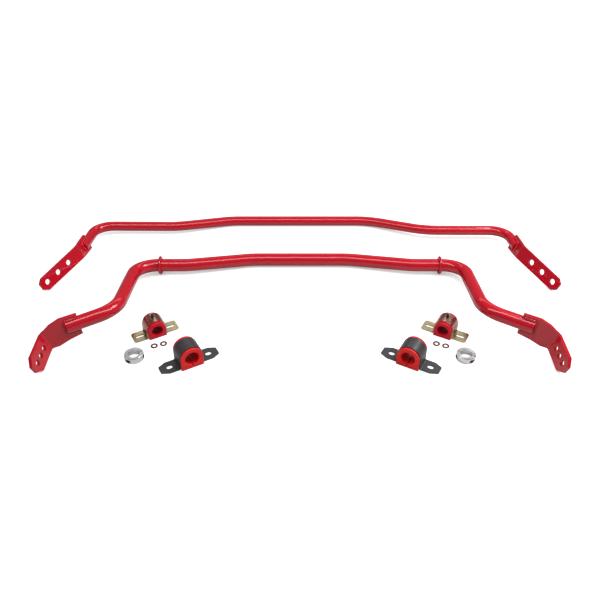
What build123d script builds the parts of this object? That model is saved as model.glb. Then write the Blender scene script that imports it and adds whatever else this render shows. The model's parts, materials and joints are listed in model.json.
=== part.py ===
from build123d import *
from dataclasses import dataclass
from math import atan2, cos, degrees, radians, sin, tan
import os

# A performance sway bar kit laid out on a bench: a thick front bar, a thinner rear bar,
# and the bushings, brackets, washers and shaft collars that hold them to a car.
# Millimetres. X is the car's width, the viewer stands on the -Y side, Z is up and the
# bench top is z = 0. The origin is the middle of the kit's footprint.

# ---------------------------------------------------------------- driving dimensions
RUN = 0.05  # radial gap between parts that seat in each other
THROUGH = 100.0  # longer than any wall that a cutter passes through

# Front bar, 1 1/4 in tube. It lies in a plane that rises toward the viewer.
FRONT_OD = 31.75
FRONT_WALL = 4.75
FRONT_MIDDLE = 123.0  # half the straight middle
FRONT_SHOULDER = 283.0  # where each outer straight, the bushing seat, begins
FRONT_OFFSET = 34.0  # how far the bushing seats stand in front of the middle
FRONT_ARM_X = 409.5
FRONT_ARM_REACH = 265.0
FRONT_TILT = 10.0
FRONT_Y = 147.0
FRONT_BENDS = [64.0, 54.0, 160.0, 160.0]  # from the left end to the middle

# Rear bar, 1 in tube
REAR_OD = 25.4
REAR_WALL = 4.0
REAR_MIDDLE = 190.0
REAR_SHOULDER = 335.0
REAR_OFFSETS = (43.0, 71.0)  # left and right seats, this bar is not symmetric
REAR_ARM_REACH = 58.0
REAR_ARM_X = 554.0
REAR_TILT = 10.8
REAR_Y = 342.0
REAR_BENDS = [48.0, 160.0, 160.0]

# Plugs in the open ends of the bars
CAP_LENGTH = 7.0
CAP_INSET = 0.6

# Weld beads around the end of a bar, on both faces of its plate
WELD_OFF_TUBE = 1.0  # from the tube's wall out to the bead's centre
WELD_OFF_PLATE = 0.4
WELD_PAST_END = 2.0
WELD_SHORT_OF_PRONG = 4.0
WELD_CORNER = 6.0

# Rings that keep the front bar from walking sideways in its bushings
RING_X = 351.0
RING_ROD = 7.0

# How the small parts are turned on the bench, left-hand side
KIT_YAW = 29.0

# Grease fittings on the rear brackets, behind the middle of the dome
GREASE_Y = 2.5
GREASE_STEM = 2.4
GREASE_HEX = 7.0
GREASE_HEX_HEIGHT = 2.4
GREASE_BORE = 0.8
GREASE_STEM_DEPTH = 5.5
GREASE_NIPPLE = [  # radius and height from the neck's foot to the top of the head
    (2.6, 0),
    (2.6, 0.8),
    (1.9, 1.5),
    (1.9, 2.4),
    (2.8, 3.2),
    (2.8, 4.0),
    (1.4, 5.4),
]

# The cut under each bushing that lets it open over the bar
SLIT = 0.8

# Spacer washers, M8
WASHER_OD = 16.0
WASHER_ID = 8.4
WASHER_THICK = 1.6
WASHER_EDGE = 0.25
WASHER_SPOTS = [(-324.0, -166.5), (-304.5, -159.0)]

# Two-piece shaft collars that lock the rear bar sideways
COLLAR_SPOT = (-361.0, -204.5)
COLLAR_OD = 42.5
COLLAR_WIDTH = 12.7
COLLAR_GAP = 1.6
COLLAR_EDGE = 0.6
COLLAR_FACE_STEP = 0.8
COLLAR_FACE_OD = 36.0
SCREW_X = 16.9
SCREW_SHANK = 4.0
SCREW_LENGTH = 12.0
SCREW_HEAD = 7.0
SCREW_HEAD_HEIGHT = 4.0
SCREW_HEAD_EDGE = 0.4
SCREW_POINT_EDGE = 0.5
SCREW_POCKET_GAP = 0.2
SCREW_HOLE_SPARE = 1.0
SCREW_SEAT_Y = -5.6
SCREW_SOCKET = 3.0
SCREW_SOCKET_DEPTH = 2.0


@dataclass
class EndPlate:
    """A cut plate that straddles the end of a bar and is folded into the link tab.

    The main leg is drawn in x and y from the middle of the fold, x toward the bar and y
    up the fold. The tab is drawn the same way, x away from the fold.
    """

    fold: tuple  # middle of the fold line, left-hand plate
    fold_up: tuple  # direction of the fold line
    turn: float  # degrees that the tab is folded toward the main leg's inboard face
    thickness: float
    inside_radius: float
    fold_half: float
    tube_end: tuple  # where the bar's centreline ends
    prong_reach: float  # how far the prongs run up the bar
    prong_halves: tuple  # from the bar's line to the outer edge of the upper, lower prong
    top: list  # outline points from the upper prong to the fold
    bottom: list  # outline points from the fold to the lower prong
    tab_length: float
    tab_half: float
    tab_tip_half: float
    tab_chamfer: float
    tab_droop: float
    hole_diameter: float
    hole_spots: list
    weld_radius: float = 3.2


FRONT_PLATE = EndPlate(
    fold=(-552.0, -334.2, 31.9),
    fold_up=(-0.34, -0.09, 0.936),
    turn=56.0,
    thickness=8.0,
    inside_radius=5.0,
    fold_half=22.5,
    tube_end=(52.0, 3.5),
    prong_reach=29.5,
    prong_halves=(24.5, 28.0),
    top=[(50.0, 30.5), (26.0, 29.5), (12.0, 25.2)],
    bottom=[(17.0, -28.0), (43.0, -28.0)],
    tab_length=79.0,
    tab_half=22.5,
    tab_tip_half=9.0,
    tab_chamfer=16.0,
    tab_droop=2.5,
    hole_diameter=12.7,
    hole_spots=[20.0, 40.0, 60.0],
)

REAR_PLATE = EndPlate(
    fold=(-560.0, -195.9, 40.7),
    fold_up=(-0.365, 0.136, 0.921),
    turn=-33.0,
    thickness=6.35,
    inside_radius=5.0,
    fold_half=18.5,
    tube_end=(28.0, -1.5),
    prong_reach=35.0,
    prong_halves=(20.5, 21.0),
    top=[(18.0, 19.5)],
    bottom=[(20.0, -20.0)],
    tab_length=137.0,
    tab_half=17.6,
    tab_tip_half=8.6,
    tab_chamfer=12.0,
    tab_droop=6.0,
    hole_diameter=14.0,
    hole_spots=[42.0, 79.0, 116.0],
    weld_radius=2.8,
)


@dataclass
class Seat:
    """A D bushing in its U bracket. The bar would lie along y, z is up from the bench."""

    spot: tuple
    bar_od: float
    liner_half: float
    axis_height: float
    liner_length: float
    lip: float  # how far the liner's end lips stand out past its body
    lip_length: float
    strap_thick: float
    strap_depth: float
    bend_radius: float
    ear_reach: float
    ear_chamfer: tuple  # along the ear and across it
    ear_corner: float
    bolt_half: float  # half the distance between the slots
    slot_length: float
    slot_width: float


FRONT_SEAT = Seat(
    spot=(-240.5, -214.6),
    bar_od=FRONT_OD,
    liner_half=23.5,
    axis_height=26.0,
    liner_length=48.0,
    lip=2.0,
    lip_length=4.5,
    strap_thick=3.2,
    strap_depth=36.0,
    bend_radius=3.0,
    ear_reach=67.0,
    ear_chamfer=(17.0, 8.0),
    ear_corner=2.0,
    bolt_half=45.0,
    slot_length=14.0,
    slot_width=10.5,
)

REAR_SEAT = Seat(
    spot=(-329.8, -118.0),
    bar_od=REAR_OD,
    liner_half=20.0,
    axis_height=20.0,
    liner_length=45.0,
    lip=0.0,
    lip_length=0.0,
    strap_thick=3.0,
    strap_depth=33.0,
    bend_radius=2.0,
    ear_reach=52.5,
    ear_chamfer=(4.0, 3.0),
    ear_corner=4.0,
    bolt_half=36.5,
    slot_length=20.0,
    slot_width=7.5,
)


# How blocks and rods stand on the point they are placed at
LOW = (Align.CENTER, Align.CENTER, Align.MIN)
SLOT_END = (Align.MIN, Align.CENTER, Align.CENTER)


# ---------------------------------------------------------------- bars
def bar_point(x, reach, tube_od, tilt):
    """A point in the bar's tilted plane, reach in front of the middle of its tube."""
    angle = radians(tilt)
    return Vector(x, -reach * cos(angle), tube_od / 2 + reach * sin(angle))


def round_bar(path, radius):
    """A solid round bar swept along a path."""
    section = Plane(origin=path @ 0, z_dir=path % 0) * Circle(radius)
    return sweep(section, path=path)


def bent_tube(left_points, right_points, bends, outside, wall):
    """A hollow tube, each half drawn from its end in to the middle as a left-hand half."""
    mirrored = [Vector(-point.X, point.Y, point.Z) for point in reversed(right_points)]
    radii = bends + list(reversed(bends))
    path = FilletPolyline(*left_points, *mirrored, radius=radii)
    return round_bar(path, outside / 2) - round_bar(path, outside / 2 - wall)


def locating_ring():
    """One turn of round rod, welded on around the front bar."""
    height = bar_point(0, FRONT_OFFSET, FRONT_OD, FRONT_TILT)
    ring = Torus(FRONT_OD / 2 + RING_ROD / 2 + RUN, RING_ROD / 2)
    return Pos(-RING_X, height.Y, height.Z) * Rot(0, 90, 0) * ring


# ---------------------------------------------------------------- end plates
class PlateFrame:
    """Where a left-hand end plate sits, and the line of the bar end that it holds."""

    def __init__(self, plate, bar_corner):
        up = Vector(*plate.fold_up).normalized()
        aim = bar_corner - Vector(*plate.fold)
        flat = (aim - up * aim.dot(up)).normalized()
        self.plate = plate
        self.plane = Plane(origin=plate.fold, x_dir=flat, z_dir=flat.cross(up))
        corner = self.plane.to_local_coords(bar_corner)
        end_x, end_y = plate.tube_end
        self.slope = degrees(atan2(corner.Y - end_y, corner.X - end_x))

    def bar_end(self):
        """The end of the bar's centreline."""
        return self.plane.from_local_coords(Vector(*self.plate.tube_end, 0))

    def along_bar(self):
        """A frame at the bar's end: x up the bar, y across it in the plate's plane."""
        return Location((*self.plate.tube_end, 0), (0, 0, self.slope))

    def tab(self):
        """The tab's frame, drawn in x from the fold and y up it."""
        return Rot(0, 180 + self.plate.turn, 0)


def folded_strip(plate, length):
    """The plate before its outline is cut: two flat legs joined by the bend."""
    middle_radius = plate.inside_radius + plate.thickness / 2
    half = radians(abs(plate.turn)) / 2
    reach = middle_radius * tan(half)
    sides = []
    for radius in (middle_radius - plate.thickness / 2, middle_radius + plate.thickness / 2):
        offset = radius - middle_radius
        centre = Vector(reach, -middle_radius)
        start = Vector(length, offset)
        arc = [centre + Vector(0, radius).rotate(Axis.Z, degrees(half) * k) for k in (0, 1, 2)]
        run = Vector(-(length - reach), 0).rotate(Axis.Z, degrees(half) * 2)
        sides.append((start, arc, arc[2] + run))
    (in_start, in_arc, in_end), (out_start, out_arc, out_end) = sides
    outline = [
        Line(in_start, in_arc[0]),
        ThreePointArc(*in_arc),
        Line(in_arc[2], in_end),
        Line(in_end, out_end),
        Line(out_end, out_arc[2]),
        ThreePointArc(out_arc[2], out_arc[1], out_arc[0]),
        Line(out_arc[0], out_start),
        Line(out_start, in_start),
    ]
    return make_face(outline), reach


def rod_along_x(radius, length):
    """A round rod from the origin along +x."""
    return extrude(Plane.YZ * Circle(radius), amount=length)


def prism(points, half_height):
    """A straight-sided block with a polygon outline, drawn in x and y."""
    outline = make_face(Polyline(*points, close=True))
    return extrude(outline, amount=half_height, both=True)


def end_plate(frame, tube_od):
    """A folded end plate, slotted for the bar and drilled for the link."""
    plate = frame.plate
    bar = frame.along_bar()
    radius = tube_od / 2
    profile, reach = folded_strip(plate, plate.tab_length + 20)
    edge_on = Plane(origin=(0, 0, 0), x_dir=(1, 0, 0), z_dir=(0, 1, 0))
    strip = extrude(edge_on * profile, amount=THROUGH, both=True)
    if plate.turn < 0:
        strip = mirror(strip, about=Plane.XY)

    def up_the_bar(x, y):
        spot = (bar * Pos(x, y, 0)).position
        return (spot.X, spot.Y)

    fold = plate.fold_half
    leg = [
        up_the_bar(plate.prong_reach, -radius),
        up_the_bar(plate.prong_reach, plate.prong_halves[0]),
        *plate.top,
        (0, fold),
        (-reach, fold),
        (-reach, -fold),
        (0, -fold),
        *plate.bottom,
        up_the_bar(plate.prong_reach, -plate.prong_halves[1]),
    ]
    leg = prism(leg, plate.thickness * 2)

    droop = Rot(0, 0, -plate.tab_droop)
    tip = plate.tab_length
    corners = [
        (tip - plate.tab_chamfer, plate.tab_half),
        (tip, plate.tab_tip_half),
        (tip, -plate.tab_tip_half),
        (tip - plate.tab_chamfer, -plate.tab_half),
    ]
    corners = [(droop * Pos(x, y, 0)).position for x, y in corners]
    tab = [(-reach, fold), (0, fold)]
    tab += [(corner.X, corner.Y) for corner in corners]
    tab += [(0, -fold), (-reach, -fold)]
    tab = frame.tab() * prism(tab, plate.thickness * 2)

    body = strip & (leg + tab)
    slot = Box(THROUGH, tube_od + 2 * RUN, THROUGH, align=SLOT_END)
    body -= bar * slot
    for spot in plate.hole_spots:
        drill = Cylinder(plate.hole_diameter / 2, plate.thickness * 3)
        body -= frame.tab() * droop * Pos(spot, 0, 0) * drill
    return frame.plane * body


def weld(frame, tube_od, plate_body):
    """Fillet beads along both prongs and across the end of the bar, on both faces."""
    plate = frame.plate
    side = tube_od / 2 + WELD_OFF_TUBE
    start = plate.prong_reach - WELD_SHORT_OF_PRONG
    beads = []
    for face in (-1, 1):
        height = face * (plate.thickness / 2 + WELD_OFF_PLATE)
        line = FilletPolyline(
            (start, side, height),
            (-WELD_PAST_END, side, height),
            (-WELD_PAST_END, -side, height),
            (start, -side, height),
            radius=WELD_CORNER,
        )
        bead = round_bar(line, plate.weld_radius)
        bead -= rod_along_x(tube_od / 2, THROUGH)
        beads.append(frame.plane * frame.along_bar() * bead - plate_body)
    return Compound([solid for bead in beads for solid in bead.solids()])


def end_cap(frame, bore):
    """The plug pressed into the open end of the bar."""
    plug = rod_along_x(bore / 2 - RUN, CAP_LENGTH)
    return frame.plane * frame.along_bar() * Pos(CAP_INSET, 0, 0) * plug


# ---------------------------------------------------------------- bushings and brackets


def d_shape(half_width, axis_height, length):
    """A block with a flat base and a round top, centred on the bar's line."""
    top = Pos(0, axis_height) * Circle(half_width)
    top += Rectangle(2 * half_width, axis_height, align=(Align.CENTER, Align.MIN))
    below = Rectangle(THROUGH, THROUGH, align=(Align.CENTER, Align.MAX))
    return extrude(Plane.XZ * (top - below), amount=length / 2, both=True)


def bushing(seat):
    """A split D bushing, flat on the bench, with end lips where it has any."""
    body = d_shape(seat.liner_half, seat.axis_height, seat.liner_length)
    if seat.lip:
        end = d_shape(seat.liner_half + seat.lip, seat.axis_height, seat.lip_length)
        shift = (seat.liner_length - seat.lip_length) / 2
        body += [Pos(0, side * shift, 0) * end for side in (-1, 1)]
    else:
        hole = Cylinder(GREASE_STEM + RUN, THROUGH, align=LOW)
        body -= Pos(0, GREASE_Y, seat.axis_height) * hole
    bore = Cylinder(seat.bar_od / 2 + RUN, THROUGH, rotation=(90, 0, 0))
    body -= Pos(0, 0, seat.axis_height) * bore
    return body - Box(SLIT, THROUGH, seat.axis_height, align=LOW)


def corners_at(section, out, height):
    """A section's two corners that stand this far out on either side at this height."""
    return [
        corner
        for corner in section.vertices()
        if abs(abs(corner.X) - out) < RUN / 2 and abs(corner.Y - height) < RUN / 2
    ]


def bracket(seat):
    """The bent steel strap over a bushing, with a slotted ear on each side."""
    thick = seat.strap_thick
    inner = seat.liner_half + RUN
    outer = inner + thick
    ears = Rectangle(2 * seat.ear_reach, thick, align=(Align.CENTER, Align.MIN))
    section = Pos(0, seat.axis_height) * Circle(outer)
    section += Rectangle(2 * outer, seat.axis_height, align=(Align.CENTER, Align.MIN))
    section += ears
    opening = Pos(0, seat.axis_height) * Circle(inner)
    opening += Rectangle(2 * inner, 2 * seat.axis_height)
    section -= opening
    section = fillet(corners_at(section, outer, thick), seat.bend_radius)
    section = fillet(corners_at(section, inner, 0), seat.bend_radius + thick)
    body = extrude(Plane.XZ * section, amount=seat.strap_depth / 2, both=True)

    reach = seat.ear_reach
    half = seat.strap_depth / 2
    along, across = seat.ear_chamfer
    quarter = [(reach - along, half), (reach, half - across)]
    right = quarter + [(x, -y) for x, y in reversed(quarter)]
    left = [(-x, -y) for x, y in right]
    plan = make_face(Polyline(*right, *left, close=True))
    plan = fillet(plan.vertices(), seat.ear_corner)
    body &= extrude(plan, amount=THROUGH, both=True)
    slot = extrude(SlotOverall(seat.slot_length, seat.slot_width), amount=THROUGH, both=True)
    body -= [Pos(side * seat.bolt_half, 0, 0) * slot for side in (-1, 1)]
    if not seat.lip:
        hole = Cylinder(GREASE_STEM + RUN, THROUGH, align=LOW)
        body -= Pos(0, GREASE_Y, seat.axis_height) * hole
    return body


def grease_fitting(seat):
    """A hex-based nipple, its stem running through the strap into the bushing."""
    top = seat.axis_height + seat.liner_half + RUN + seat.strap_thick
    stem = Cylinder(GREASE_STEM, GREASE_STEM_DEPTH + GREASE_HEX_HEIGHT, align=LOW)
    hexagon = RegularPolygon(GREASE_HEX / 2, 6, major_radius=False)
    body = Pos(0, 0, -GREASE_STEM_DEPTH) * stem
    body += extrude(hexagon, amount=GREASE_HEX_HEIGHT)
    head = GREASE_NIPPLE[-1][1]
    profile = make_face(Polyline((0, 0), *GREASE_NIPPLE, (0, head), close=True))
    nipple = revolve(Plane.XZ * profile, axis=Axis.Z)
    body += Pos(0, 0, GREASE_HEX_HEIGHT) * nipple
    body -= Cylinder(GREASE_BORE, THROUGH)
    return Pos(0, GREASE_Y, top) * body


# ---------------------------------------------------------------- washers and collars
def washer():
    """A flat spacer washer with its edges broken."""
    disc = Cylinder(WASHER_OD / 2, WASHER_THICK, align=LOW)
    return chamfer(disc.edges(), WASHER_EDGE) - Cylinder(WASHER_ID / 2, THROUGH)


def collar_ring():
    """The whole shaft collar lying on its side, before it is split."""
    ring = Cylinder(COLLAR_OD / 2, COLLAR_WIDTH, align=LOW)
    ring = chamfer(ring.edges(), COLLAR_EDGE)
    step = Cylinder(COLLAR_OD, COLLAR_WIDTH, align=LOW)
    step -= Cylinder(COLLAR_FACE_OD / 2, COLLAR_WIDTH, align=LOW)
    ring -= Pos(0, 0, COLLAR_WIDTH - COLLAR_FACE_STEP) * step
    return ring - Cylinder(REAR_OD / 2 + RUN, THROUGH)


def collar_screw_spots():
    """Where the two screws cross the split, each frame's z pointing out of the head."""
    turn = Rot(90, 0, 0)
    return [Pos(side * SCREW_X, SCREW_SEAT_Y, COLLAR_WIDTH / 2) * turn for side in (-1, 1)]


def collar_half(side):
    """One half of the collar: side -1 is the cap with the screw pockets, +1 the base."""
    half = Pos(0, side * (COLLAR_GAP + THROUGH) / 2, 0) * Box(THROUGH, THROUGH, THROUGH)
    body = collar_ring() & half
    depth = SCREW_LENGTH + SCREW_HOLE_SPARE
    hole = Cylinder(SCREW_SHANK / 2 + RUN, depth + SCREW_HOLE_SPARE, align=LOW)
    pocket = Cylinder(SCREW_HEAD / 2 + SCREW_POCKET_GAP, COLLAR_OD, align=LOW)
    cutter = Pos(0, 0, -depth) * hole + pocket
    return body - [spot * cutter for spot in collar_screw_spots()]


def collar_screws():
    """Two socket head cap screws."""
    head = Cylinder(SCREW_HEAD / 2, SCREW_HEAD_HEIGHT, align=LOW)
    head = chamfer(head.edges().group_by(Axis.Z)[-1], SCREW_HEAD_EDGE)
    hexagon = RegularPolygon(SCREW_SOCKET / 2, 6, major_radius=False)
    socket = extrude(hexagon, amount=SCREW_HEAD_HEIGHT)
    screw = head - Pos(0, 0, SCREW_HEAD_HEIGHT - SCREW_SOCKET_DEPTH) * socket
    shank = Cylinder(SCREW_SHANK / 2, SCREW_LENGTH, align=LOW)
    shank = chamfer(shank.edges().group_by(Axis.Z)[0], SCREW_POINT_EDGE)
    screw += Pos(0, 0, -SCREW_LENGTH) * shank
    return [spot * screw for spot in collar_screw_spots()]


# ---------------------------------------------------------------- the kit
def group(solids):
    """Several solids kept as one named part."""
    return Compound(list(solids))


def along_arm(bar_end, corner, y):
    """The point where the arm's straight line crosses y."""
    return bar_end + (corner - bar_end) * ((y - bar_end.Y) / (corner.Y - bar_end.Y))


def bar_parts(name, plate, corner, halves, bends, tube_od, wall):
    """The nodes of one bar: its tube, end plates, welds and end caps."""
    frame = PlateFrame(plate, corner)
    end = frame.bar_end()
    left = {}
    left["end_plate"] = end_plate(frame, tube_od)
    left["weld"] = weld(frame, tube_od, left["end_plate"])
    left["end_cap"] = end_cap(frame, tube_od - 2 * wall)
    sides = [[end, *points] for points in halves]
    nodes = {name + "_tube": bent_tube(*sides, bends, tube_od, wall)}
    for part, shape in left.items():
        nodes[f"{name}_{part}_left"] = shape
        nodes[f"{name}_{part}_right"] = mirror(shape, about=Plane.YZ)
    return nodes


def both_sides(name, shape, spot):
    """A small part on the left of the bench and its mirror image on the right."""
    left = Location((*spot, 0), (0, 0, KIT_YAW)) * shape
    return {name.format("left"): left, name.format("right"): mirror(left, about=Plane.YZ)}


def front_bar():
    """The nodes of the front bar, the middle of its tube at y = 0."""
    corner = bar_point(-FRONT_ARM_X, FRONT_ARM_REACH, FRONT_OD, FRONT_TILT)
    seats = [-FRONT_ARM_X, -FRONT_SHOULDER]
    half = [corner] + [bar_point(x, FRONT_OFFSET, FRONT_OD, FRONT_TILT) for x in seats]
    half.append(Vector(-FRONT_MIDDLE, 0, FRONT_OD / 2))
    nodes = bar_parts(
        "front", FRONT_PLATE, corner, [half, half], FRONT_BENDS, FRONT_OD, FRONT_WALL
    )
    ring = locating_ring()
    nodes["locating_ring_left"] = ring
    nodes["locating_ring_right"] = mirror(ring, about=Plane.YZ)
    return nodes


def rear_bar():
    """The nodes of the rear bar, the middle of its tube at y = 0."""
    corner = bar_point(-REAR_ARM_X, REAR_ARM_REACH, REAR_OD, REAR_TILT)
    end = PlateFrame(REAR_PLATE, corner).bar_end()
    middle = Vector(-REAR_MIDDLE, 0, REAR_OD / 2)
    halves = []
    for offset in REAR_OFFSETS:
        seat = bar_point(-REAR_SHOULDER, offset, REAR_OD, REAR_TILT)
        halves.append([along_arm(end, corner, seat.Y), seat, middle])
    return bar_parts("rear", REAR_PLATE, corner, halves, REAR_BENDS, REAR_OD, REAR_WALL)


def build_kit():
    """Every node of the kit in the bench's frame."""
    rest = -locating_ring().bounding_box().min.Z  # the front bar lies on its two rings
    nodes = {name: Pos(0, FRONT_Y, rest) * shape for name, shape in front_bar().items()}
    nodes |= {name: Pos(0, REAR_Y, 0) * shape for name, shape in rear_bar().items()}
    for name, seat in (("front", FRONT_SEAT), ("rear", REAR_SEAT)):
        nodes |= both_sides(name + "_bushing_{}", bushing(seat), seat.spot)
        nodes |= both_sides(name + "_bracket_{}", bracket(seat), seat.spot)
    nodes |= both_sides("grease_fitting_{}", grease_fitting(REAR_SEAT), REAR_SEAT.spot)
    for place, spot in zip(("outer", "inner"), WASHER_SPOTS):
        nodes |= both_sides("washer_{}_" + place, washer(), spot)
    nodes |= both_sides("collar_{}_base", collar_half(1), COLLAR_SPOT)
    nodes |= both_sides("collar_{}_cap", collar_half(-1), COLLAR_SPOT)
    nodes |= both_sides("collar_{}_screws", group(collar_screws()), COLLAR_SPOT)
    return nodes


kit = build_kit()
footprint = group(kit.values()).bounding_box().center()
to_origin = Pos(-footprint.X, -footprint.Y, 0)

os.makedirs("parts", exist_ok=True)
for node, shape in kit.items():
    export_step(to_origin * shape, f"parts/{node}.step")
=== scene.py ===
import json
import math

import bmesh
import bpy
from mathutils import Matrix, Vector


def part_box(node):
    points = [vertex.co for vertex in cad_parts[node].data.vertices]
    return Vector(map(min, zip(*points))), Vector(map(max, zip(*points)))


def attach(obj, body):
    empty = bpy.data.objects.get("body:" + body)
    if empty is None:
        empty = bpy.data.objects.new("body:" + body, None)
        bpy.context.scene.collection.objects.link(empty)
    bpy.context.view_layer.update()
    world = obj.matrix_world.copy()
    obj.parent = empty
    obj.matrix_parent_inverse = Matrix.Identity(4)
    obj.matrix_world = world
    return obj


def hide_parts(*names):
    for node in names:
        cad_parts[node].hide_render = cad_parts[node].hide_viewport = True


# The looks of a sway bar kit: gloss red powder coat on two bent bars, red polyurethane
# bushings, yellow zinc and black coated brackets, and turned aluminium shaft collars.
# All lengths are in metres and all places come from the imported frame.

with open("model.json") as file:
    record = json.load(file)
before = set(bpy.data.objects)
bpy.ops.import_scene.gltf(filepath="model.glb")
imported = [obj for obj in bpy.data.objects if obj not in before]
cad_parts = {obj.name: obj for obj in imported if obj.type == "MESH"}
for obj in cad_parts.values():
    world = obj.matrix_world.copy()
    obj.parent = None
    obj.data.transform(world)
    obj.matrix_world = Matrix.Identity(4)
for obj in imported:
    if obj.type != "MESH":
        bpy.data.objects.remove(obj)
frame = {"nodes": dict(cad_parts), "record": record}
bpy.context.view_layer.update()
nodes = frame["nodes"]
body_of_node = {
    node: body
    for body, members in frame["record"]["behaviour"]["bodies"].items()
    for node in members
}
slot_of_node = {
    part["node"]: part["material_slot"] for part in frame["record"]["subparts"]
}

MM = 0.001
SIDES = ("left", "right")

# ---------------------------------------------------------------- measures
SAME_POINT = 0.002 * MM  # vertices closer than this are one vertex
FLAT_TURN = math.radians(0.6)  # faces that turn less than this become one face
HARD_TURN = math.radians(35)  # edges that turn more than this are rounded
CORNER_STEPS = 3
CORNERS = {  # a part of the node's name: how far its hard corners are rounded
    "end_plate": 0.7 * MM,
    "bushing": 0.8 * MM,
    "front_bracket": 0.6 * MM,
    "rear_bracket": 0.5 * MM,
    "_tube": 0.4 * MM,
    "end_cap": 0.3 * MM,
    "collar": 0.15 * MM,
    "washer": 0.12 * MM,
    "grease": 0.2 * MM,
    "locating": 0.0,
}

BEADS = {  # tube radius, plate thickness, how far the beads run up the bar, bead radius
    "front": (15.875 * MM, 8.0 * MM, 25.5 * MM, 3.1 * MM),
    "rear": (12.7 * MM, 6.35 * MM, 31.0 * MM, 2.7 * MM),
}
CAP_INSET = 0.6 * MM  # how far an end cap's face lies inside the end of its tube
BEAD_OUT = 1.0 * MM  # how far outside the tube's wall a bead's line runs
BEAD_UP = 0.4 * MM  # how high above the plate's face it runs
BEAD_PAST_END = 2 * MM  # how far it runs past the end of the tube
BEAD_TURN = 6 * MM  # the radius at which it goes round a corner
TURN_STEPS = 12
BEAD_STEP = 0.2 * MM  # from one ring of vertices to the next
BEAD_SIDES = 20
PUDDLE = 1.9 * MM  # the length of one ripple
PUDDLE_BASE = 0.88  # a ripple's least thickness, as a share of the bead's radius
PUDDLE_CREST = 0.20  # how much more it has where it begins
PUDDLE_FALL = 0.6  # the power by which it falls away from there
PUDDLE_LEAN = 0.25  # how far its top trails its sides, as a share of the radius
SWELL = 0.03  # how unevenly thick the ripples are
WANDER = 0.12  # how far they stray to the sides, in millimetres
BEAD_TAPER = 2.2 * MM  # the length over which a bead's ends thin out
BEAD_NOSE = 0.3 * MM  # how much of that length is cut off at the tip

NOISE_MIDDLE = (0.3, 0.7)  # the range that cloudy noise mostly keeps to
EDGE_COSINES = (0.985, 0.80)  # rounded against plain normal: no corner, full corner
# painted shade on the bushings: their colour darkens where little sky is open within this
# reach, in bores and recesses
PAINTED_SHADE_REACH = 40 * MM
PAINTED_SHADE_SKY = (0.10, 0.55)  # the open share of sky in the darkest and the lit places
PAINTED_SHADE_LEAST = 0.35  # how much of its own colour the darkest place keeps
# painted contact shadow on the floor: its colour and glow darken where little sky is open
# within this reach
PAINTED_SHADOW_REACH = 60 * MM
PAINTED_SHADOW_SKY = (0.10, 0.60)
PAINTED_SHADOW_LEAST = 0.40
ZINC_DOME = (12 * MM, 30 * MM)  # the heights between which gold turns to copper

FLOOR_HALF = 12.0
FLOOR_DROP = 0.2 * MM  # keeps the floor clear of the flat undersides on it
FLOOR_GLOW = 0.85
WORLD_LIGHT = 0.16  # what the walls give; the camera itself sees them white
LIGHTS = [  # name, place, the point it faces, width, height, watts
    ("key", (1.3, 0.2, 1.7), (0.0, 0.0, 0.0), 0.8, 0.8, 28),
    ("overhead_strip", (0.0, -0.45, 1.55), (0.0, 0.1, 0.0), 3.2, 0.4, 24),
    ("back_card", (0.0, 3.0, 2.45), (0.0, 0.0, 0.0), 4.0, 0.7, 12),
]
CAMERA_PLACE = (0.0, -1.3739, 1.039)
CAMERA_TILT = math.radians(52.0)  # up from looking straight down
LENS_MM = 42.0
SENSOR_MM = 36.0


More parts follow.
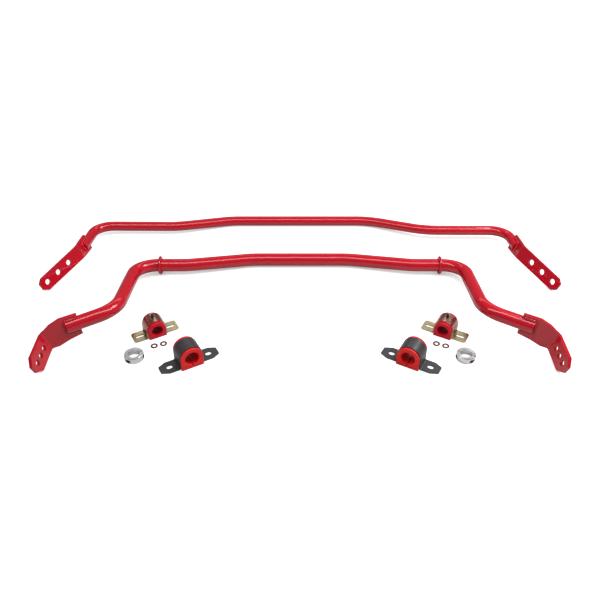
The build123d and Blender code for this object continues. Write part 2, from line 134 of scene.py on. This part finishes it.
# ---------------------------------------------------------------- material building
class Look:
    """A node material around one Principled shader, textured in the row frame."""

    def __init__(self, name):
        self.material = bpy.data.materials.new(name)
        self.material.use_nodes = True
        self.tree = self.material.node_tree
        self.shader = self.tree.nodes["Principled BSDF"]
        self.place = self.add("ShaderNodeTexCoord").outputs["Object"]

    def add(self, kind, inputs=None, **settings):
        """A new node with its settings made and its inputs set or linked."""
        node = self.tree.nodes.new(kind)
        for key, value in settings.items():
            setattr(node, key, value)
        for key, value in (inputs or {}).items():
            self.feed(node.inputs[key], value)
        return node

    def feed(self, socket, value):
        """Links a socket, or sets its plain value."""
        if isinstance(value, bpy.types.NodeSocket):
            self.tree.links.new(value, socket)
        else:
            socket.default_value = value

    def set(self, **values):
        """Sets shader inputs by name, with underscores for spaces."""
        for key, value in values.items():
            self.feed(self.shader.inputs[key.replace("_", " ")], value)

    def noise(self, size, detail=3.0, vector=None, roughness=0.5):
        """Cloudy noise whose blobs are about size metres across."""
        inputs = {
            "Vector": vector or self.place,
            "Scale": 1 / size,
            "Detail": detail,
            "Roughness": roughness,
        }
        return self.add("ShaderNodeTexNoise", inputs).outputs["Fac"]

    def math(self, operation, a, b):
        """One arithmetic step."""
        return self.add("ShaderNodeMath", {0: a, 1: b}, operation=operation).outputs[0]

    def spread(self, value, low, high, out_low=0.0, out_high=1.0):
        """Maps value from low..high to out_low..out_high, clamped."""
        inputs = {
            "Value": value, "From Min": low, "From Max": high,
            "To Min": out_low, "To Max": out_high,
        }
        return self.add("ShaderNodeMapRange", inputs).outputs["Result"]

    def drift(self, noise, low, high):
        """A noise that drifts between low and high."""
        return self.spread(noise, *NOISE_MIDDLE, low, high)

    def vector(self, operation, a, b=None):
        """The node of one vector step."""
        inputs = {0: a} if b is None else {0: a, 1: b}
        return self.add("ShaderNodeVectorMath", inputs, operation=operation)

    def open_sky(self, reach, samples):
        """How much of the sky within reach is open, from 0 to 1."""
        node = self.add("ShaderNodeAmbientOcclusion", {"Distance": reach}, samples=samples)
        return node.outputs["AO"]

    def mix(self, factor, a, b):
        """Mixes two colours."""
        node = self.add("ShaderNodeMix", data_type="RGBA")
        self.feed(node.inputs["Factor"], factor)
        self.feed(node.inputs["A"], colour(a))
        self.feed(node.inputs["B"], colour(b))
        return node.outputs["Result"]

    def ramp(self, value, stops):
        """A colour ramp from (position, colour) stops."""
        node = self.add("ShaderNodeValToRGB", {"Fac": value})
        points = node.color_ramp.elements
        while len(points) < len(stops):
            points.new(0.5)
        for point, (position, tint) in zip(points, stops):
            point.position = position
            point.color = colour(tint)
        return node.outputs["Color"]

    def bump(self, height, depth, below=None):
        """Surface relief of the given depth in metres, laid over another relief."""
        inputs = {"Height": height, "Distance": depth, "Strength": 1.0}
        node = self.add("ShaderNodeBump", inputs)
        if below is not None:
            self.feed(node.inputs["Normal"], below)
        self.feed(self.shader.inputs["Normal"], node.outputs["Normal"])
        return node.outputs["Normal"]

    def edges(self, radius):
        """1 on outside and inside corners, 0 on flat or gently curved skin."""
        soft = self.add("ShaderNodeBevel", {"Radius": radius}, samples=4)
        plain = self.add("ShaderNodeNewGeometry").outputs["Normal"]
        dot = self.vector("DOT_PRODUCT", soft.outputs["Normal"], plain)
        return self.spread(dot.outputs["Value"], *EDGE_COSINES)

    def height(self):
        """Height above the bench."""
        return self.add("ShaderNodeSeparateXYZ", {"Vector": self.place}).outputs["Z"]


def colour(value):
    """A plain tint with its alpha added, or a socket as it is."""
    if isinstance(value, bpy.types.NodeSocket):
        return value
    return (*value, 1.0)


def red_powder_coat():
    """Gloss red powder coat: orange peel, faint sag clouds, thinner on the edges."""
    look = Look("red_powder_coat")
    deep, bright = (0.50, 0.001, 0.012), (0.58, 0.002, 0.017)
    thin, grimy = (0.62, 0.05, 0.05), (0.36, 0.002, 0.010)
    paint = look.mix(look.noise(45 * MM, 3), deep, bright)
    edge = look.edges(1.2 * MM)
    breakup = look.spread(look.noise(3 * MM, 4), 0.42, 0.62)
    worn = look.math("MULTIPLY", edge, look.math("MULTIPLY", breakup, 0.30))
    paint = look.mix(worn, paint, thin)
    grime = look.spread(look.noise(30 * MM, 5, roughness=0.6), 0.50, 0.75, 0.0, 0.14)
    paint = look.mix(grime, paint, grimy)
    roughness = look.drift(look.noise(9 * MM, 4), 0.30, 0.40)
    look.set(Base_Color=paint, Roughness=roughness, Specular_IOR_Level=0.15)
    look.set(Coat_Weight=0.9, Coat_Roughness=0.05, Coat_IOR=1.5)
    waves = look.bump(look.noise(9 * MM, 1), 0.018 * MM)
    look.bump(look.noise(1.7 * MM, 2), 0.004 * MM, waves)
    return look.material


def red_polyurethane(name, deep, bright):
    """Cast polyurethane: slightly waxy, with fine mould grain, handling dust and painted
    shade in its bores and recesses.
    """
    look = Look(name)
    dusty, rubbed, shaded = (0.80, 0.24, 0.22), (0.95, 0.08, 0.07), (0.16, 0.0, 0.004)
    body = look.mix(look.noise(18 * MM, 4), deep, bright)
    dust = look.spread(look.noise(5 * MM, 6, roughness=0.7), 0.56, 0.78, 0.0, 0.12)
    body = look.mix(dust, body, dusty)
    rim = look.math("MULTIPLY", look.edges(0.9 * MM), 0.20)
    body = look.mix(rim, body, rubbed)
    # painted shade: the colour turns towards the dark shaded red where little sky is open,
    # in the bores and recesses
    sky = look.open_sky(PAINTED_SHADE_REACH, samples=8)
    painted_shade = look.spread(sky, *PAINTED_SHADE_SKY, PAINTED_SHADE_LEAST, 1.0)
    body = look.mix(painted_shade, shaded, body)
    roughness = look.drift(look.noise(4 * MM, 4), 0.36, 0.52)
    look.set(Base_Color=body, Roughness=roughness, Specular_IOR_Level=0.3)
    look.set(Subsurface_Weight=0.04, Subsurface_Scale=1.5 * MM)
    look.set(Subsurface_Radius=(1.0, 0.15, 0.08))
    grain = look.bump(look.noise(0.45 * MM, 2), 0.012 * MM)
    look.bump(look.noise(6 * MM, 2), 0.06 * MM, grain)
    return look.material


def yellow_zinc():
    """Yellow chromate over zinc: olive gold ears, a coppery dome, rainbow drift."""
    look = Look("yellow_zinc")
    warp = look.noise(30 * MM, 2)
    facing = look.add("ShaderNodeLayerWeight", {"Blend": 0.35}).outputs["Facing"]
    film = look.math(
        "ADD", look.math("MULTIPLY", facing, 0.7), look.math("MULTIPLY", warp, 0.8)
    )
    gold = look.ramp(film, [
        (0.20, (0.46, 0.36, 0.20)),
        (0.45, (0.52, 0.43, 0.24)),
        (0.62, (0.42, 0.38, 0.22)),
        (0.80, (0.52, 0.37, 0.25)),
        (1.00, (0.56, 0.46, 0.27)),
    ])
    copper = look.ramp(film, [
        (0.20, (0.50, 0.20, 0.19)),
        (0.45, (0.66, 0.36, 0.33)),
        (0.62, (0.50, 0.24, 0.20)),
        (0.80, (0.62, 0.33, 0.27)),
        (1.00, (0.68, 0.42, 0.34)),
    ])
    tint = look.mix(look.spread(look.height(), *ZINC_DOME), gold, copper)
    edge = look.math("MULTIPLY", look.edges(0.8 * MM), 0.5)
    bare_zinc = (0.74, 0.70, 0.62)
    tint = look.mix(edge, tint, bare_zinc)
    roughness = look.drift(look.noise(5 * MM, 5), 0.18, 0.30)
    look.set(Base_Color=tint, Metallic=1.0, Roughness=roughness)
    drawn_out = {"Vector": look.place, "Scale": (1.0, 9.0, 1.0)}
    rolled = look.add("ShaderNodeMapping", drawn_out).outputs["Vector"]
    drawn = look.bump(look.noise(2.5 * MM, 3, rolled), 0.002 * MM)
    look.bump(look.noise(9 * MM, 2), 0.015 * MM, drawn)
    return look.material


def black_coat():
    """Black textured coating over hot rolled strap: fine wrinkle, greyer edges."""
    look = Look("black_coat")
    deep, bright, rubbed = (0.022, 0.022, 0.024), (0.042, 0.042, 0.046), (0.16, 0.16, 0.165)
    tint = look.mix(look.noise(12 * MM, 4), deep, bright)
    breakup = look.spread(look.noise(2 * MM, 4), 0.4, 0.6)
    worn = look.math("MULTIPLY", look.edges(0.9 * MM), breakup)
    tint = look.mix(look.math("MULTIPLY", worn, 0.45), tint, rubbed)
    roughness = look.drift(look.noise(3 * MM, 4), 0.34, 0.48)
    look.set(Base_Color=tint, Roughness=roughness, Specular_IOR_Level=0.7)
    wrinkle = look.bump(look.noise(0.9 * MM, 3), 0.015 * MM)
    look.bump(look.noise(7 * MM, 2), 0.05 * MM, wrinkle)
    return look.material


def washer_bronze():
    """Bronze-tinted plated washers."""
    look = Look("washer_bronze")
    deep, bright, rubbed = (0.20, 0.075, 0.050), (0.36, 0.17, 0.11), (0.55, 0.34, 0.26)
    tint = look.mix(look.noise(4 * MM, 4), deep, bright)
    tint = look.mix(look.math("MULTIPLY", look.edges(0.4 * MM), 0.5), tint, rubbed)
    roughness = look.drift(look.noise(2 * MM, 4), 0.26, 0.44)
    look.set(Base_Color=tint, Metallic=1.0, Roughness=roughness)
    look.bump(look.noise(0.8 * MM, 3), 0.012 * MM)
    return look.material


def turned_aluminium(name, centre):
    """Bright turned aluminium, its tool marks running round the collar's bore."""
    look = Look(name)
    dull, bright, mark = (0.76, 0.75, 0.77), (0.88, 0.87, 0.89), (0.50, 0.49, 0.51)
    shifted = look.vector("SUBTRACT", look.place, (centre.x, centre.y, 0)).outputs["Vector"]
    flat = look.vector("MULTIPLY", shifted, (1.0, 1.0, 0.0)).outputs["Vector"]
    radius = look.vector("LENGTH", flat).outputs["Value"]
    around = look.add("ShaderNodeCombineXYZ", {"X": radius, "Z": look.height()})
    marks = look.noise(0.35 * MM, 2, around.outputs["Vector"])
    tint = look.mix(look.noise(9 * MM, 4), dull, bright)
    tint = look.mix(look.math("MULTIPLY", marks, 0.35), tint, mark)
    roughness = look.drift(marks, 0.22, 0.40)
    tangent = look.add("ShaderNodeTangent", direction_type="RADIAL", axis="Z")
    look.set(Base_Color=tint, Metallic=1.0, Roughness=roughness, Anisotropic=0.5)
    look.feed(look.shader.inputs["Tangent"], tangent.outputs["Tangent"])
    look.bump(marks, 0.012 * MM)
    return look.material


def dark_steel(name, deep, bright, roughness):
    """Black oxide or dark plated steel with light scuffs on its corners."""
    look = Look(name)
    scuff = (0.12, 0.12, 0.13)
    tint = look.mix(look.noise(3 * MM, 5), deep, bright)
    tint = look.mix(look.math("MULTIPLY", look.edges(0.35 * MM), 0.2), tint, scuff)
    look.set(Base_Color=tint, Metallic=0.4, Specular_IOR_Level=0.3)
    look.set(Roughness=look.drift(look.noise(2 * MM, 4), roughness, roughness + 0.15))
    look.bump(look.noise(0.7 * MM, 3), 0.01 * MM)
    return look.material


def collar_centre(side):
    """The middle of a shaft collar's bore, from its two halves."""
    corners = [*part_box(f"collar_{side}_base"), *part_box(f"collar_{side}_cap")]
    return sum(corners, Vector()) / len(corners)


shared_looks = {
    "red_powder_coat": red_powder_coat(),
    "yellow_zinc": yellow_zinc(),
    "black_coat": black_coat(),
    "washer_bronze": washer_bronze(),
    "black_oxide": dark_steel(
        "black_oxide", (0.006, 0.006, 0.007), (0.015, 0.015, 0.016), roughness=0.32
    ),
    "fitting_steel": dark_steel(
        "fitting_steel", (0.020, 0.016, 0.012), (0.06, 0.045, 0.03), roughness=0.24
    ),
}
bushing_looks = {
    "front": red_polyurethane(
        "front_polyurethane", (0.80, 0.008, 0.008), (0.94, 0.018, 0.014)
    ),
    "rear": red_polyurethane(
        "rear_polyurethane", (0.62, 0.002, 0.018), (0.76, 0.004, 0.028)
    ),
}
collar_looks = {
    side: turned_aluminium(f"turned_aluminium_{side}", collar_centre(side))
    for side in SIDES
}


def look_for(node):
    """The material of a CAD node."""
    if "_bushing_" in node:
        return bushing_looks[node.split("_")[0]]
    if node.startswith("collar_") and not node.endswith("_screws"):
        return collar_looks[node.split("_")[1]]
    if "_end_cap_" in node:
        return shared_looks["red_powder_coat"]
    return shared_looks[slot_of_node[node]]


# ---------------------------------------------------------------- pieces
def new_piece(name, mesh, node):
    """Puts a mesh in the scene as the shown form of a CAD node."""
    piece = bpy.data.objects.new(name, mesh)
    bpy.context.scene.collection.objects.link(piece)
    mesh.materials.clear()
    mesh.materials.append(look_for(node))
    for face in mesh.polygons:
        face.use_smooth = True
    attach(piece, body_of_node[node])
    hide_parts(node)
    return piece


def node_form(node):
    """A copy of a CAD node's mesh to work on, its loose corners joined."""
    form = bmesh.new()
    form.from_mesh(nodes[node].data)
    bmesh.ops.remove_doubles(form, verts=form.verts, dist=SAME_POINT)
    return form


def finished_mesh(form, node):
    """Turns a worked form into a mesh, its faces turned outward."""
    bmesh.ops.recalc_face_normals(form, faces=form.faces)
    mesh = bpy.data.meshes.new(node + "_form")
    form.to_mesh(mesh)
    form.free()
    return mesh


def soft_edged(node, width):
    """Shows the node's own shape with every hard corner rounded to the given width."""
    form = node_form(node)
    bmesh.ops.dissolve_limit(
        form, angle_limit=FLAT_TURN, verts=form.verts, edges=form.edges
    )
    hard = [e for e in form.edges if e.is_manifold and e.calc_face_angle() > HARD_TURN]
    if width and hard:
        bmesh.ops.bevel(
            form, geom=hard, offset=width, segments=CORNER_STEPS, profile=0.5,
            affect="EDGES", clamp_overlap=True,
        )
    mesh = finished_mesh(form, node)
    piece = new_piece(node + "_finished", mesh, node)
    piece.modifiers.new("even_shading", "WEIGHTED_NORMAL").keep_sharp = False


def corner_width(node):
    """How far a node's hard corners are rounded."""
    return next(width for key, width in CORNERS.items() if key in node)


# ---------------------------------------------------------------- weld beads
def island_centres(node):
    form = node_form(node)
    waiting = set(form.verts)
    centres = []
    for first in form.verts:
        if first not in waiting:
            continue
        waiting.remove(first)
        island, stack = [], [first]
        while stack:
            vert = stack.pop()
            island.append(vert.co.copy())
            for edge in vert.link_edges:
                other = edge.other_vert(vert)
                if other in waiting:
                    waiting.remove(other)
                    stack.append(other)
        centres.append(sum(island, Vector()) / len(island))
    form.free()
    return sorted(centres, key=lambda centre: abs(centre.x))


def plug_axis(plug, tube):
    """The outer end of the bar's centreline and the way out of it, from the end cap."""
    points = [v.co.copy() for v in nodes[plug].data.vertices]
    faces = nodes[plug].data.polygons
    middle = sum(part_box(plug), Vector()) / 2

    def area_facing(direction):
        return sum(f.area for f in faces if abs(f.normal.dot(direction)) > 0.9999)

    outward = max((f.normal.copy() for f in faces), key=area_facing)
    if outward.dot(middle - sum(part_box(tube), Vector()) / 2) < 0:
        outward.negate()
    reach = max((point - middle).dot(outward) for point in points)
    return middle + outward * (reach + CAP_INSET), outward


def rounded_line(corners, radius, step):
    """Evenly spaced points along a line whose square corners are rounded."""
    dense = [corners[0]]
    for before, corner, after in zip(corners, corners[1:], corners[2:]):
        into = (corner - before).normalized()
        out = (after - corner).normalized()
        centre = corner + (out - into) * radius
        for k in range(TURN_STEPS + 1):
            turn = math.radians(90) * k / TURN_STEPS
            back = centre - out * radius * math.cos(turn)
            dense.append(back + into * radius * math.sin(turn))
    dense.append(corners[-1])
    even, carry = [dense[0]], 0.0
    for a, b in zip(dense, dense[1:]):
        length = (b - a).length
        while length and carry + step <= length:
            carry += step
            even.append(a.lerp(b, carry / length))
        carry -= length
    return even


def add_bead(form, line, up, radius, seed):
    """A weld bead: overlapping puddles stacked along the line, like a row of coins."""
    rings = []
    for i, point in enumerate(line):
        ahead = line[min(i + 1, len(line) - 1)] - line[max(i - 1, 0)]
        ahead.normalize()
        across = up.cross(ahead).normalized()
        travelled = i * BEAD_STEP
        number, phase = divmod(travelled / PUDDLE, 1.0)
        swell = math.sin(number * 2.7 + seed) * SWELL
        size = radius * (PUDDLE_BASE + swell + PUDDLE_CREST * (1 - phase) ** PUDDLE_FALL)
        to_end = min(i, len(line) - 1 - i) * BEAD_STEP
        size *= math.sin(min(1.0, (to_end + BEAD_NOSE) / BEAD_TAPER) * math.pi / 2)
        wander = across * math.sin(number * 1.9 + seed * 3) * WANDER * MM
        ring = []
        for k in range(BEAD_SIDES):
            turn = math.tau * k / BEAD_SIDES
            lean = ahead * math.sin(turn) * PUDDLE_LEAN * radius
            offset = across * math.cos(turn) + up * math.sin(turn)
            ring.append(form.verts.new(point + wander + offset * size - lean))
        rings.append(ring)
    for one, two in zip(rings, rings[1:]):
        for k in range(BEAD_SIDES):
            n = (k + 1) % BEAD_SIDES
            form.faces.new((one[k], one[n], two[n], two[k]))
    form.faces.new(rings[0])
    form.faces.new(rings[-1])


def weld_beads(bar, side):
    """Shows the rippled beads that join a bar's end to both faces of its plate."""
    node = f"{bar}_weld_{side}"
    tube_radius, thickness, start, radius = BEADS[bar]
    end, outward = plug_axis(f"{bar}_end_cap_{side}", f"{bar}_tube")
    inner, outer = island_centres(node)
    up = inner - outer
    up = (up - outward * up.dot(outward)).normalized()
    across = up.cross(outward)
    reach, past = tube_radius + BEAD_OUT, -BEAD_PAST_END
    spots = [(start, reach), (past, reach), (past, -reach), (start, -reach)]
    form = bmesh.new()
    for face in (1, -1):
        lift = end + up * face * (thickness / 2 + BEAD_UP)
        corners = [lift - outward * x + across * y for x, y in spots]
        line = rounded_line(corners, BEAD_TURN, BEAD_STEP)
        add_bead(form, line, up * face, radius, seed=face + len(node) / 10)
    new_piece(node + "_rippled", finished_mesh(form, node), node)


for node in sorted(nodes):
    if "_weld_" in node:
        weld_beads(*node.split("_weld_"))
    else:
        soft_edged(node, corner_width(node))


# ---------------------------------------------------------------- studio
def floor_look():
    """Seamless white sweep, lit a little from below as a light table is, with a painted
    contact shadow that darkens its colour and glow near the parts.
    """
    look = Look("white_sweep")
    paper = look.mix(look.noise(0.5, 2), (0.60, 0.60, 0.60), (0.63, 0.63, 0.63))
    # painted contact shadow: near the parts, where little sky is open, the paper turns
    # towards near black
    sky = look.open_sky(PAINTED_SHADOW_REACH, samples=16)
    painted_contact_shadow = look.spread(sky, *PAINTED_SHADOW_SKY, PAINTED_SHADOW_LEAST, 1.0)
    paper = look.mix(painted_contact_shadow, (0.05, 0.05, 0.05), paper)
    look.set(Base_Color=paper, Roughness=0.9, Specular_IOR_Level=0.0)
    seen = look.add("ShaderNodeLightPath").outputs["Is Camera Ray"]
    look.set(Emission_Color=(1.0, 1.0, 1.0, 1.0))
    # the camera-only glow is dimmed by the painted contact shadow too
    glow = look.math("MULTIPLY", painted_contact_shadow, FLOOR_GLOW)
    look.set(Emission_Strength=look.math("MULTIPLY", seen, glow))
    look.bump(look.noise(0.02, 3), 0.02 * MM)
    return look.material


def soft_box(name, place, target, width, height, power):
    """Puts up a rectangular soft light aimed at a point."""
    light = bpy.data.lights.new(name, "AREA")
    light.shape = "RECTANGLE"
    light.size = width
    light.size_y = height
    light.energy = power
    lamp = bpy.data.objects.new(name, light)
    lamp.location = place
    aim = Vector(target) - Vector(place)
    lamp.rotation_euler = aim.to_track_quat("-Z", "Y").to_euler()
    bpy.context.scene.collection.objects.link(lamp)


floor_mesh = bpy.data.meshes.new("sweep")
floor_signs = ((-1, -1), (1, -1), (1, 1), (-1, 1))
floor_corners = [(x * FLOOR_HALF, y * FLOOR_HALF, 0) for x, y in floor_signs]
floor_mesh.from_pydata(floor_corners, [], [(0, 1, 2, 3)])
floor = bpy.data.objects.new("sweep", floor_mesh)
floor.location.z = -FLOOR_DROP
bpy.context.scene.collection.objects.link(floor)
floor_mesh.materials.append(floor_look())

world = bpy.data.worlds.new("studio")
world.use_nodes = True
backdrop = world.node_tree.nodes["Background"]
backdrop.inputs["Color"].default_value = (1.0, 1.0, 1.0, 1.0)
ray = world.node_tree.nodes.new("ShaderNodeLightPath")
strength = world.node_tree.nodes.new("ShaderNodeMapRange")
strength.inputs["To Min"].default_value = WORLD_LIGHT
strength.inputs["To Max"].default_value = 1.0
world.node_tree.links.new(ray.outputs["Is Camera Ray"], strength.inputs["Value"])
world.node_tree.links.new(strength.outputs["Result"], backdrop.inputs["Strength"])
bpy.context.scene.world = world

for light_settings in LIGHTS:
    soft_box(*light_settings)

camera = bpy.data.objects.new("camera", bpy.data.cameras.new("camera"))
camera.data.sensor_width = SENSOR_MM
camera.data.lens = LENS_MM
camera.location = CAMERA_PLACE
camera.rotation_euler = (CAMERA_TILT, 0.0, 0.0)
bpy.context.scene.collection.objects.link(camera)
bpy.context.scene.camera = camera
bpy.context.scene.view_settings.view_transform = "Standard"

bpy.context.view_layer.update()
